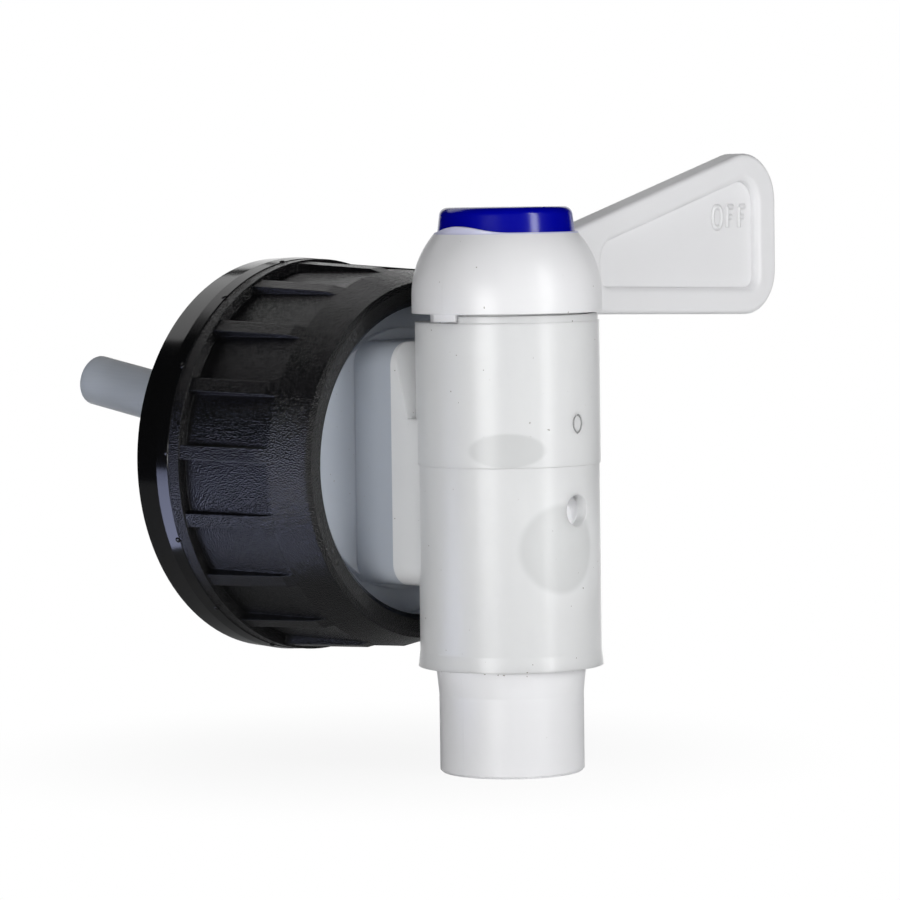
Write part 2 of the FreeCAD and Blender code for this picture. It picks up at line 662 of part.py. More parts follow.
def cap_rib():
    """One grip rib on the cap's top line, sloped at its front end and growing to the ring."""
    side = -RIB_WIDTH / 2
    root = CAP_PANEL_RADIUS - RIB_ROOT
    profile = closed_face([
        Vector(side, CAP_SHOULDER_END, root),
        Vector(side, CAP_SHOULDER_END, CAP_PANEL_RADIUS),
        Vector(side, CAP_SHOULDER_END + RIB_NOSE, CAP_PANEL_RADIUS + RIB_FRONT_HEIGHT),
        Vector(side, CAP_RING_START, CAP_PANEL_RADIUS + RIB_REAR_HEIGHT),
        Vector(side, CAP_RING_START, root),
    ])
    return profile.extrude(Vector(RIB_WIDTH, 0, 0))


def screw_cap():
    """Loose union cap with grip ribs spaced evenly round it."""
    step = 360.0 / RIB_COUNT
    start = 90.0 + RIB_PHASE
    ribs = [turned_by(cap_rib(), start + index * step, Y_AXIS) for index in range(RIB_COUNT)]
    return cap_blank().fuse(ribs).removeSplitter()


def flange_seal():
    """Flat washer between the flange and the container's rim."""
    outer = FLANGE_RADIUS - SEAL_INSET
    inner = outer - SEAL_WIDTH
    return turned_y([(inner, 0), (outer, 0), (outer, -SEAL_THICKNESS), (inner, -SEAL_THICKNESS)])


def vent_tube():
    """Straight air tube pushed into its socket, rising into the container."""
    length = (TUBE_REACH - TUBE_ROOT) / TUBE_AXIS.y
    outside = Part.makeCylinder(TUBE_RADIUS, length, TUBE_START, TUBE_AXIS)
    inside = Part.makeCylinder(TUBE_RADIUS - TUBE_WALL, length, TUBE_START, TUBE_AXIS)
    return outside.cut(inside)


def main():
    """Write one STEP file for each piece."""
    os.makedirs("parts", exist_ok=True)
    pieces = {
        "tap_body": tap_body(),
        "valve_key": valve_key(),
        "top_plug": top_plug(),
        "screw_cap": screw_cap(),
        "flange_seal": flange_seal(),
        "vent_tube": vent_tube(),
    }
    for name, shape in pieces.items():
        solids = len(shape.Solids)
        print(name, "solids", solids, "valid", shape.isValid(), "volume", round(shape.Volume, 1))
        shape.exportStep("parts/" + name + ".step")


main()
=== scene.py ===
"""Container dosing tap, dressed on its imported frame: finishes, fine pieces, studio and camera."""

import logging
import math
from dataclasses import dataclass
from enum import Enum
from functools import partial

import bmesh
import bpy
from mathutils import Matrix, Vector


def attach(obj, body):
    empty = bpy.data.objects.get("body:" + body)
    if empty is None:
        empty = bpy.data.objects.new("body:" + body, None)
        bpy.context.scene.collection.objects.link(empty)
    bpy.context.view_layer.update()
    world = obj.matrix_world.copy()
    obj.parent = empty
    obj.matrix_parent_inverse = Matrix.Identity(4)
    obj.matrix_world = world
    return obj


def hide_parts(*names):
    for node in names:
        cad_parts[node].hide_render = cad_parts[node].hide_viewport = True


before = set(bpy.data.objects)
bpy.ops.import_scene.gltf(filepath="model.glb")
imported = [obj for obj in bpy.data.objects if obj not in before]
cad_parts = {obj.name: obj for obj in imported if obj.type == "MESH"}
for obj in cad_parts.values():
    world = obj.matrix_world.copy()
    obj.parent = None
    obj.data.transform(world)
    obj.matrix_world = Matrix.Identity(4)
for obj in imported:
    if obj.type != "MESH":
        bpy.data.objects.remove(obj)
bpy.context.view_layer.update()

LOG = logging.getLogger("dosing_tap")
MM = 0.001
BARREL_Y = -29.5 * MM
WELD_DISTANCE = 1e-7
SHARP_ANGLE = math.radians(32)

Tree = bpy.types.NodeTree
Node = bpy.types.Node
Socket = bpy.types.NodeSocket
Piece = bpy.types.Object


def linear(code: str) -> tuple[float, float, float, float]:
    """Turn an sRGB hex colour into linear light.

    Args:
        code: colour as "#RRGGBB".

    Returns:
        Linear red, green and blue, and an alpha of 1.
    """
    shares = [int(code[i:i + 2], 16) / 255 for i in (1, 3, 5)]
    light = [c / 12.92 if c <= 0.04045 else ((c + 0.055) / 1.055) ** 2.4 for c in shares]
    return light[0], light[1], light[2], 1.0


def add_node(tree: Tree, kind: str, inputs: dict | None = None, **settings) -> Node:
    """Add one node with its settings and links.

    Args:
        tree: node tree that gets the node.
        kind: Blender's type name of the node.
        inputs: for each input, by its name or number, a value, a socket, or a node, which gives
            its first output in use.
        settings: attributes of the node itself.

    Returns:
        The new node.
    """
    node = tree.nodes.new(kind)
    for name, value in settings.items():
        setattr(node, name, value)
    for name, value in (inputs or {}).items():
        if isinstance(value, Node):
            value = next(socket for socket in value.outputs if socket.enabled)
        if isinstance(value, Socket):
            tree.links.new(value, node.inputs[name])
        else:
            node.inputs[name].default_value = value
    return node


class Finish:
    """A plastic's look. Each kind of finish fills in the Principled shader in its own way."""

    name: str

    def material(self) -> bpy.types.Material:
        """Give the Blender material of this finish, made once."""
        made = bpy.data.materials.get(self.name)
        if made is None:
            made = bpy.data.materials.new(self.name)
            made.use_nodes = True
            made.node_tree.nodes.clear()
            shader = self.surface(made.node_tree)
            add_node(made.node_tree, "ShaderNodeOutputMaterial", {"Surface": shader})
        return made

    def surface(self, tree: Tree) -> Node:
        """Build the shader; each finish has its own way.

        Args:
            tree: the material's node tree.

        Returns:
            The shader.
        """
        raise NotImplementedError

    def dress(self, piece: Piece) -> None:
        """Put this finish on every material slot of a piece.

        Args:
            piece: mesh that gets the finish.
        """
        if not piece.material_slots:
            piece.data.materials.append(self.material())
        for slot in piece.material_slots:
            slot.material = self.material()


@dataclass(frozen=True)
class MouldedNaturalPolypropylene(Finish):
    """Uncoloured polypropylene, injection moulded: milky, and light that soaks in comes out around it."""

    name: str = "natural_polypropylene_injection_moulded"
    milk: str = "#F4F5F5"
    cloud: str = "#EEEFF0"
    painted_neck_shade: str = "#C3C9D2"
    dust: str = "#8A8478"
    neck_mm: float = -14.2
    cloud_mm: float = 9.0
    dust_mm: float = 0.5
    ripple_mm: float = 1.6
    seam_mm: float = 0.09
    barrel_top: float = 23.9
    painted_port_shade: str = "#E2E3E3"
    slot_middle: tuple[float, float, float] = (-11.64, -39.73, 2.9)
    slot_reach: tuple[float, float, float] = (6.6, 6.6, 2.9)
    window_middle: tuple[float, float, float] = (-3.5, -44.6, -13.6)
    window_reach: tuple[float, float, float] = (7.2, 15.0, 7.6)
    roughness: float = 0.3
    soak_mm: float = 2.6
    see_through: float = 0.12
    ior: float = 1.49
    speck_limit: float = 0.885
    shade_full: float = 0.88
    shade_gone: float = 1.06
    edge_mm: float = 0.2
    soft_mm: float = 0.25
    ripple_depth_mm: float = 0.012
    ripple_strength: float = 0.5
    line_depth_mm: float = 0.03
    line_strength: float = 0.4

    def surface(self, tree: Tree) -> Node:
        """Build the milky body: faint clouds, painted shade over the key's ports behind the wall and on the
        neck, dust, and the mould's seam.

        Args:
            tree: the material's node tree.

        Returns:
            The shader.
        """
        add = partial(add_node, tree)
        place = add("ShaderNodeTexCoord").outputs["Object"]
        axes = add("ShaderNodeSeparateXYZ", {0: place}).outputs
        height = axes[2]
        clouds = add("ShaderNodeTexNoise", {"Vector": place, "Scale": 1 / (self.cloud_mm * MM)})
        pale = {0: clouds, 6: linear(self.milk), 7: linear(self.cloud)}
        colour = add("ShaderNodeMix", pale, data_type="RGBA")
        # Painted shade: the neck's wall, sitting in the cap's hole with the dark hollow behind it, gets a
        # darker bluish tone.
        hollow = add("ShaderNodeMath", {0: axes[1], 1: self.neck_mm * MM}, operation="GREATER_THAN")
        colour = add("ShaderNodeMix", {0: hollow, 6: colour, 7: linear(self.painted_neck_shade)}, data_type="RGBA")
        # Painted shade: the barrel's wall is darkened where the key's air slot and window lie behind it.
        for middle, reach in ((self.slot_middle, self.slot_reach), (self.window_middle, self.window_reach)):
            off = add("ShaderNodeVectorMath", {0: place, 1: Vector(middle) * MM}, operation="SUBTRACT")
            share = add("ShaderNodeVectorMath", {0: off, 1: Vector(reach) * MM}, operation="DIVIDE")
            far = add("ShaderNodeVectorMath", {0: share}, operation="LENGTH").outputs["Value"]
            over = add("ShaderNodeMapRange", {
                "Value": far, "From Min": self.shade_full, "From Max": self.shade_gone,
                "To Min": 1.0, "To Max": 0.0,
            }, interpolation_type="SMOOTHSTEP")
            colour = add("ShaderNodeMix", {0: over, 6: colour, 7: linear(self.painted_port_shade)}, data_type="RGBA")
        # Dust of a tenth of a millimetre, drawn as half a millimetre so that it shows.
        grit = add("ShaderNodeTexNoise", {"Vector": place, "Scale": 1 / (self.dust_mm * MM), "Detail": 0.0})
        specks = add("ShaderNodeMath", {0: grit, 1: self.speck_limit}, operation="GREATER_THAN")
        colour = add("ShaderNodeMix", {0: specks, 6: colour, 7: linear(self.dust)}, data_type="RGBA")
        seam = add("ShaderNodeMath", {0: height, 1: 0.0, 2: self.seam_mm * MM}, operation="COMPARE")
        at_top = {0: height, 1: self.barrel_top * MM, 2: self.edge_mm * MM}
        edge = add("ShaderNodeMath", at_top, operation="COMPARE")
        sparkle = add("ShaderNodeMath", {0: edge, 1: grit}, operation="MULTIPLY")
        lines = add("ShaderNodeMath", {0: seam, 1: sparkle}, operation="ADD")
        soft = add("ShaderNodeBevel", {"Radius": self.soft_mm * MM}, samples=6)
        ripple = add("ShaderNodeTexNoise", {"Vector": place, "Scale": 1 / (self.ripple_mm * MM)})
        waved = add("ShaderNodeBump", {
            "Height": ripple, "Distance": self.ripple_depth_mm * MM, "Strength": self.ripple_strength,
            "Normal": soft,
        })
        seamed = add("ShaderNodeBump", {
            "Height": lines, "Distance": self.line_depth_mm * MM, "Strength": self.line_strength,
            "Normal": waved,
        })
        return add("ShaderNodeBsdfPrincipled", {
            "Base Color": colour, "Roughness": self.roughness, "IOR": self.ior, "Normal": seamed,
            "Subsurface Weight": 1.0, "Subsurface Radius": (1.0, 1.0, 1.0),
            "Subsurface Scale": self.soak_mm * MM, "Transmission Weight": self.see_through,
        })


@dataclass(frozen=True)
class MouldedPolyethylene(Finish):
    """Coloured polyethylene, injection moulded: soft waxy gloss and a faint glow at thin edges."""

    name: str
    colour: str
    shade: str
    roughness: float
    ior: float = 1.54
    glow: float = 0.3
    flow_mm: float = 14.0
    ripple_mm: float = 2.4
    ripple_depth_mm: float = 0.015
    ripple_strength: float = 0.4
    soft_mm: float = 0.3
    soak_mm: float = 0.9

    def surface(self, tree: Tree) -> Node:
        """Build the even colour with its faint flow marks and soft edges.

        Args:
            tree: the material's node tree.

        Returns:
            The shader.
        """
        add = partial(add_node, tree)
        place = add("ShaderNodeTexCoord").outputs["Object"]
        flow = add("ShaderNodeTexNoise", {"Vector": place, "Scale": 1 / (self.flow_mm * MM)})
        tones = {0: flow, 6: linear(self.colour), 7: linear(self.shade)}
        tone = add("ShaderNodeMix", tones, data_type="RGBA")
        tone = self.marked(tree, place, tone)
        soft = add("ShaderNodeBevel", {"Radius": self.soft_mm * MM}, samples=6)
        ripple = add("ShaderNodeTexNoise", {"Vector": place, "Scale": 1 / (self.ripple_mm * MM)})
        waved = add("ShaderNodeBump", {
            "Height": ripple, "Distance": self.ripple_depth_mm * MM, "Strength": self.ripple_strength,
            "Normal": soft,
        })
        return add("ShaderNodeBsdfPrincipled", {
            "Base Color": tone, "Roughness": self.roughness, "IOR": self.ior,
            "Normal": self.seamed(tree, place, waved),
            "Subsurface Weight": self.glow, "Subsurface Radius": (1.0, 1.0, 1.0),
            "Subsurface Scale": self.soak_mm * MM,
        })

    def marked(self, tree: Tree, place: Socket, tone: Node) -> Node:
        """Give the colour with its marks; a plain moulding has none."""
        return tone

    def seamed(self, tree: Tree, place: Socket, normal: Node) -> Node:
        """Give the normal with the mould's seam; a plain moulding shows none."""
        return normal


@dataclass(frozen=True)
class KeyPolyethylene(MouldedPolyethylene):
    """The key's white polyethylene: a seam round its middle, a painted blue tint at the collar for the
    plug's light through it, handling dust.
    """

    collar_low: float = 38.55
    collar_reach: float = 13.2
    painted_plug_tint: str = "#D6D7F2"
    dust: str = "#8D877C"
    dust_mm: float = 0.55
    joint_high: float = -33.9
    joint_low: float = -36.4
    seam_mm: float = 0.1
    seam_depth_mm: float = 0.05
    seam_strength: float = 0.6
    speck_limit: float = 0.895
    joint_limit_low: float = 0.90
    joint_limit_high: float = 0.74
    joint_zone: float = -30.0

    def marked(self, tree: Tree, place: Socket, tone: Node) -> Node:
        """Paint the thin collar blue for the plug's light showing through it, and put dust along the joint
        with the barrel.

        Args:
            tree: the material's node tree.
            place: the point on the piece.
            tone: the colour without marks.

        Returns:
            The colour with them.
        """
        add = partial(add_node, tree)
        height = add("ShaderNodeSeparateXYZ", {0: place}).outputs[2]
        # Painted light: the blue plug's colour, seen through the thin collar, is painted on as a tint.
        level = add("ShaderNodeVectorMath", {0: place, 1: (1.0, 1.0, 0.0)}, operation="MULTIPLY")
        middle = (0.0, BARREL_Y, 0.0)
        away = add("ShaderNodeVectorMath", {0: level, 1: middle}, operation="DISTANCE").outputs["Value"]
        near_plug = add("ShaderNodeMath", {0: away, 1: self.collar_reach * MM}, operation="LESS_THAN")
        above = add("ShaderNodeMath", {0: height, 1: self.collar_low * MM}, operation="GREATER_THAN")
        thin = add("ShaderNodeMath", {0: near_plug, 1: above}, operation="MULTIPLY")
        tone = add("ShaderNodeMix", {0: thin, 6: tone, 7: linear(self.painted_plug_tint)}, data_type="RGBA")
        near = add("ShaderNodeMapRange", {
            "Value": height, "From Min": self.joint_low * MM, "From Max": self.joint_high * MM,
            "To Min": self.joint_limit_low, "To Max": self.joint_limit_high,
        })
        # Dust of a tenth of a millimetre, drawn as half a millimetre so that it shows.
        grit = add("ShaderNodeTexNoise", {"Vector": place, "Scale": 1 / (self.dust_mm * MM), "Detail": 0.0})
        low = add("ShaderNodeMath", {0: height, 1: self.joint_zone * MM}, operation="LESS_THAN")
        limit = add("ShaderNodeMix", {0: low, 2: self.speck_limit, 3: near})
        specks = add("ShaderNodeMath", {0: grit, 1: limit}, operation="GREATER_THAN")
        return add("ShaderNodeMix", {0: specks, 6: tone, 7: linear(self.dust)}, data_type="RGBA")

    def seamed(self, tree: Tree, place: Socket, normal: Node) -> Node:
        """Raise the seam where the mould's halves met, in the plane through the barrel's axis.

        Args:
            tree: the material's node tree.
            place: the point on the piece.
            normal: the normal without it.

        Returns:
            The normal with it.
        """
        depth = add_node(tree, "ShaderNodeSeparateXYZ", {0: place}).outputs[1]
        at_axis = {0: depth, 1: BARREL_Y, 2: self.seam_mm * MM}
        line = add_node(tree, "ShaderNodeMath", at_axis, operation="COMPARE")
        return add_node(tree, "ShaderNodeBump", {
            "Height": line, "Distance": self.seam_depth_mm * MM, "Strength": self.seam_strength,
            "Normal": normal,
        })


@dataclass(frozen=True)
class GrainedBlackPolypropylene(Finish):
    """Black polypropylene from a spark-eroded mould: fine grain on the grip, polished rear band."""

    name: str = "black_polypropylene_spark_eroded"
    colour: str = "#0C0C0D"
    grain_mm: float = 0.27
    grain_depth_mm: float = 0.11
    grain_roughness: float = 0.22
    polish_roughness: float = 0.12
    band_mm: float = 17.65
    lip_mm: float = 27.7
    soft_mm: float = 0.25
    ior: float = 1.49

    def surface(self, tree: Tree) -> Node:
        """Build the black with grain only where the mould has it: outside, in front of the rear band.

        Args:
            tree: the material's node tree.

        Returns:
            The shader.
        """
        add = partial(add_node, tree)
        place = add("ShaderNodeTexCoord").outputs["Object"]
        axes = add("ShaderNodeSeparateXYZ", {0: place}).outputs
        round_axis = add("ShaderNodeCombineXYZ", {0: axes[0], 1: axes[2]})
        across = add("ShaderNodeVectorMath", {0: round_axis}, operation="LENGTH").outputs["Value"]
        before_band = add("ShaderNodeMath", {0: axes[1], 1: self.band_mm * MM}, operation="LESS_THAN")
        outside = add("ShaderNodeMath", {0: across, 1: self.lip_mm * MM}, operation="GREATER_THAN")
        grained = add("ShaderNodeMath", {0: before_band, 1: outside}, operation="MULTIPLY")
        # Grain of a tenth of a millimetre, drawn nearly three times as coarse so that it shows.
        grain = add("ShaderNodeTexVoronoi", {"Vector": place, "Scale": 1 / (self.grain_mm * MM)})
        soft = add("ShaderNodeBevel", {"Radius": self.soft_mm * MM}, samples=6)
        rough = add("ShaderNodeBump", {
            "Height": grain, "Distance": self.grain_depth_mm * MM, "Strength": grained, "Normal": soft,
        })
        span = self.grain_roughness - self.polish_roughness
        levels = {0: grained, 1: span, 2: self.polish_roughness}
        gloss = add("ShaderNodeMath", levels, operation="MULTIPLY_ADD")
        return add("ShaderNodeBsdfPrincipled", {
            "Base Color": linear(self.colour), "Roughness": gloss, "IOR": self.ior, "Normal": rough,
        })


@dataclass(frozen=True)
class CellFoam(Finish):
    """Closed-cell polyethylene foam, die-cut: dull, with fine cells on its cut faces."""

    name: str = "polyethylene_foam_closed_cell"
    colour: str = "#E2E1DC"
    cell: str = "#C9C8C2"
    cell_mm: float = 0.5
    dent_mm: float = 0.08
    roughness: float = 0.85
    ior: float = 1.3

    def surface(self, tree: Tree) -> Node:
        """Build the cut face: cells as a shallow pattern in colour and relief.

        Args:
            tree: the material's node tree.

        Returns:
            The shader.
        """
        add = partial(add_node, tree)
        place = add("ShaderNodeTexCoord").outputs["Object"]
        cells = add("ShaderNodeTexVoronoi", {"Vector": place, "Scale": 1 / (self.cell_mm * MM)})
        tones = {0: cells, 6: linear(self.colour), 7: linear(self.cell)}
        tone = add("ShaderNodeMix", tones, data_type="RGBA")
        dents = add("ShaderNodeBump", {"Height": cells, "Distance": self.dent_mm * MM})
        return add("ShaderNodeBsdfPrincipled", {
            "Base Color": tone, "Roughness": self.roughness, "IOR": self.ior, "Normal": dents,
        })


@dataclass(frozen=True)
class ExtrudedNaturalPolyethylene(Finish):
    """Uncoloured soft polyethylene tube, extruded: bluish haze with faint lines along it."""

    name: str = "natural_polyethylene_extruded"
    haze: str = "#C6CCD5"
    line: str = "#BAC1CC"
    roughness: float = 0.42
    see_through: float = 0.25
    ior: float = 1.51
    across_mm: float = 0.5
    along_mm: float = 33.333
    line_depth_mm: float = 0.02
    line_strength: float = 0.5

    def surface(self, tree: Tree) -> Node:
        """Build the haze with its die lines, a noise stretched along the tube.

        Args:
            tree: the material's node tree.

        Returns:
            The shader.
        """
        add = partial(add_node, tree)
        place = add("ShaderNodeTexCoord").outputs["Object"]
        across, along = 1 / (self.across_mm * MM), 1 / (self.along_mm * MM)
        stretch = add("ShaderNodeMapping", {"Vector": place, "Scale": (across, along, across)})
        lines = add("ShaderNodeTexNoise", {"Vector": stretch, "Scale": 1.0})
        tones = {0: lines, 6: linear(self.haze), 7: linear(self.line)}
        tone = add("ShaderNodeMix", tones, data_type="RGBA")
        drawn = add("ShaderNodeBump", {
            "Height": lines, "Distance": self.line_depth_mm * MM, "Strength": self.line_strength,
        })
        return add("ShaderNodeBsdfPrincipled", {
            "Base Color": tone, "Roughness": self.roughness, "IOR": self.ior, "Normal": drawn,
            "Transmission Weight": self.see_through,
        })


NATURAL_BODY = MouldedNaturalPolypropylene()
WHITE_KEY = KeyPolyethylene("white_high_density_polyethylene_moulded", "#F3F3F4", "#EFEFF1", 0.33)
BLUE_PLUG = MouldedPolyethylene(
    "blue_low_density_polyethylene_moulded", "#0003A0", "#000292", 0.18, ior=1.51, glow=0.05,
)
BLACK_CAP = GrainedBlackPolypropylene()
SEAL_FOAM = CellFoam()
AIR_TUBE = ExtrudedNaturalPolyethylene()


def mesh_piece(name: str, points: list, faces: list, finish: Finish, body: str) -> Piece:
    """Make a piece from points and faces, dress it and let it ride.

    Args:
        name: the piece's name.
        points: corners in metres.
        faces: corner numbers of each face.
        finish: its look.
        body: CAD body that carries it.

    Returns:
        The new piece.
    """
    mesh = bpy.data.meshes.new(name)
    mesh.from_pydata(points, [], faces)
    shaped = bmesh.new()
    shaped.from_mesh(mesh)
    bmesh.ops.remove_doubles(shaped, verts=shaped.verts, dist=WELD_DISTANCE)
    bmesh.ops.recalc_face_normals(shaped, faces=shaped.faces)
    shaped.to_mesh(mesh)
    shaped.free()
    mesh.shade_smooth()
    mesh.set_sharp_from_angle(angle=SHARP_ANGLE)
    piece = bpy.data.objects.new(name, mesh)
    bpy.context.scene.collection.objects.link(piece)
    finish.dress(piece)
    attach(piece, body)
    return piece


def turned(outline: list[tuple[float, float]], centre: Vector, steps: int = 144) -> tuple[list, list]:
    """Turn an outline about an upright axis.

    Args:
        outline: closed outline as (radius, height) in millimetres.
        centre: point on the axis at height 0, in metres.
        steps: facets round the axis.

    Returns:
        Points and faces.
    """
    points, faces = [], []
    count = len(outline)
    for step in range(steps):
        angle = math.tau * step / steps
        for radius, height in outline:
            arm = Vector((math.cos(angle) * radius, math.sin(angle) * radius, height)) * MM
            points.append(centre + arm)
    for step in range(steps):
        here, there = step * count, (step + 1) % steps * count
        for i in range(count):
            j = (i + 1) % count
            faces.append((here + i, here + j, there + j, there + i))
    return points, faces


def swept(
    path: list[Vector], rises: list[Vector], outline: list, sizes: list[float], closed: bool,
) -> tuple[list, list]:
    """Carry an outline along a path.

    Args:
        path: points in metres.
        rises: at each point, the direction in which the outline stands up.
        outline: (across, up) points in millimetres.
        sizes: at each point, how much of the outline's height is left.
        closed: whether the path's end joins its start.

    Returns:
        Points and faces.
    """
    points, faces = [], []
    last, count = len(path) - 1, len(outline)
    for i, spot in enumerate(path):
        before = path[i - 1] if i or closed else path[0]
        after = path[(i + 1) % len(path)] if i < last or closed else path[last]
        side = (after - before).normalized().cross(rises[i]).normalized()
        for across, up in outline:
            points.append(spot + side * across * MM + rises[i] * up * sizes[i] * MM)
    spans = len(path) if closed else last
    for i in range(spans):
        here, there = i * count, (i + 1) % len(path) * count
        for j in range(count):
            k = (j + 1) % count
            faces.append((here + j, here + k, there + k, there + j))
    if not closed:
        faces.append(tuple(range(count)))
        faces.append(tuple(range(last * count, last * count + count)))
    return points, faces


@dataclass
class TapBody:
    """Natural body with its gate mark, seal and vent tube."""

    radius: float = 15.5
    gate_height: float = 7.0
    gate_wide: float = 2.0
    gate_tall: float = 2.95
    gate_edge: float = 0.3
    gate_raised: float = 0.04
    gate_sunk: float = 0.08
    gate_pinch: float = 0.45
    gate_shoulder: float = 0.8
    gate_steps: int = 48

    def gate_mark(self) -> Piece:
        """Raise the thin oval edge, pointed below, that the mould's gate left on the barrel.

        Returns:
            The edge.
        """
        path, rises = [], []
        for step in range(self.gate_steps):
            turn = math.tau * step / self.gate_steps
            pinch = 1 - self.gate_pinch * max(0.0, -math.cos(turn)) ** 3
            across = self.gate_wide / 2 * math.sin(turn) * pinch / self.radius
            up = self.gate_height + self.gate_tall / 2 * math.cos(turn)
            out = Vector((math.sin(across), -math.cos(across), 0))
            path.append(out * self.radius * MM + Vector((0, BARREL_Y, up * MM)))
            rises.append(out)
        half = self.gate_edge / 2
        shoulder = self.gate_raised * self.gate_shoulder
        outline = [
            (-half, -self.gate_sunk), (-half, 0.0), (-half / 2, shoulder), (0.0, self.gate_raised),
            (half / 2, shoulder), (half, 0.0), (half, -self.gate_sunk),
        ]
        points, faces = swept(path, rises, outline, [1.0] * len(path), True)
        return mesh_piece("barrel_gate_mark", points, faces, NATURAL_BODY, "body")

    def build(self) -> list[Piece]:
        """Dress the body, the seal and the tube, and raise the gate mark.

        Returns:
            The four pieces.
        """
        nodes = {"tap_body": NATURAL_BODY, "flange_seal": SEAL_FOAM, "vent_tube": AIR_TUBE}
        for node, finish in nodes.items():
            finish.dress(bpy.data.objects[node])
        return [bpy.data.objects[node] for node in nodes] + [self.gate_mark()]


class Mark(Enum):
    """Word of a valve position, and the side of the handle that carries it."""

    SHUT = ("OFF", -1)
    OPEN = ("ON", 1)


def squared(share: float, power: float = 0.8) -> float:
    """Square off a circle's sine or cosine a little, for a letter's oval."""
    return math.copysign(abs(share) ** power, share)


@dataclass
class ValveKey:
    """White turning key with the two position marks on its handle."""

    panel_depth: float = 0.9
    letter_height: float = 4.7
    letter_low: float = 38.1
    word_left: float = 53.1
    wide: float = 3.45
    narrow: float = 2.64
    gap: float = 0.6
    stroke: float = 1.0
    raised: float = 0.26
    sunk: float = 0.1
    loop_steps: int = 40
    profile_steps: int = 8
    arm_height: float = 0.52
    arm_reach: float = 0.8

    def strokes(self, letter: str) -> list[tuple[list[tuple[float, float]], bool]]:
        """Draw a letter in strokes.

        Args:
            letter: O, F or N.

        Returns:
            Each stroke's points as shares of the letter's width and height, and whether it is a loop.
        """
        if letter == "O":
            turns = [math.tau * step / self.loop_steps for step in range(self.loop_steps)]
            loop = [((1 + squared(math.cos(a))) / 2, (1 + squared(math.sin(a))) / 2) for a in turns]
            return [(loop, True)]
        stem = [(0, 0), (0, 1)]
        if letter == "F":
            arm = [(0, self.arm_height), (self.arm_reach, self.arm_height)]
            return [(stem, False), ([(0, 1), (1, 1)], False), (arm, False)]
        return [(stem, False), ([(0, 1), (1, 0)], False), ([(1, 0), (1, 1)], False)]

    def width(self, letter: str) -> float:
        """Give a letter's width."""
        return self.narrow if letter == "F" else self.wide

    def profile(self) -> list[tuple[float, float]]:
        """Give a stroke's cross-section, a soft ridge, as (across, up)."""
        half = self.stroke / 2
        shares = [2 * step / self.profile_steps - 1 for step in range(self.profile_steps + 1)]
        ridge = [(half * share, self.raised * (1 + math.cos(math.pi * share)) / 2) for share in shares]
        return [(-half, -self.sunk)] + ridge + [(half, -self.sunk)]

    def mark(self, mark: Mark) -> Piece:
        """Raise one word on a panel of the handle.

        Args:
            mark: which word and side.

        Returns:
            The raised word.
        """
        word, side = mark.value
        half = self.stroke / 2
        outline = self.profile()
        rise = Vector((0, side, 0))
        floor = BARREL_Y + side * self.panel_depth * MM
        total = sum(self.width(letter) for letter in word) + self.gap * (len(word) - 1)
        x = self.word_left if side < 0 else self.word_left + total
        points, faces = [], []
        for letter in word:
            width = self.width(letter)
            for stroke, closed in self.strokes(letter):
                path = []
                for share_x, share_z in stroke:
                    along = x - side * (half + share_x * (width - self.stroke))
                    up = self.letter_low + half + share_z * (self.letter_height - self.stroke)
                    path.append(Vector((along * MM, floor, up * MM)))
                part = swept(path, [rise] * len(path), outline, [1.0] * len(path), closed)
                start = len(points)
                points += part[0]
                faces += [tuple(start + corner for corner in face) for face in part[1]]
            x -= side * (width + self.gap)
        name = "handle_mark_" + word.lower()
        return mesh_piece(name, points, faces, WHITE_KEY, "key")

    def build(self) -> list[Piece]:
        """Dress the key, raise its marks, and give them."""
        WHITE_KEY.dress(bpy.data.objects["valve_key"])
        return [bpy.data.objects["valve_key"]] + [self.mark(mark) for mark in Mark]


@dataclass
class TopPlug:
    """Blue push-in plug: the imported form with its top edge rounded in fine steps."""

    radius: float = 11.65
    top: float = 43.0
    seat: float = 37.9
    draft: float = 0.45
    edge: float = 1.4
    shank: float = 10.35
    shank_low: float = 33.3
    wall: float = 1.7
    edge_steps: int = 10

    def build(self) -> list[Piece]:
        """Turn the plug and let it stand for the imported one.

        Returns:
            The plug.
        """
        hollow = self.shank - self.wall
        outline = [
            (0.0, self.top - self.wall), (hollow, self.top - self.wall), (hollow, self.shank_low),
            (self.shank, self.shank_low), (self.shank, self.seat), (self.radius, self.seat),
        ]
        crown = self.radius - self.draft
        for step in range(self.edge_steps + 1):
            angle = math.pi / 2 * step / self.edge_steps
            outline.append((
                crown - self.edge + self.edge * math.cos(angle),
                self.top - self.edge + self.edge * math.sin(angle),
            ))
        outline.append((0.0, self.top))
        points, faces = turned(outline, Vector((0, BARREL_Y, 0)))
        piece = mesh_piece("top_plug_turned", points, faces, BLUE_PLUG, "key")
        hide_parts("top_plug")
        return [piece]


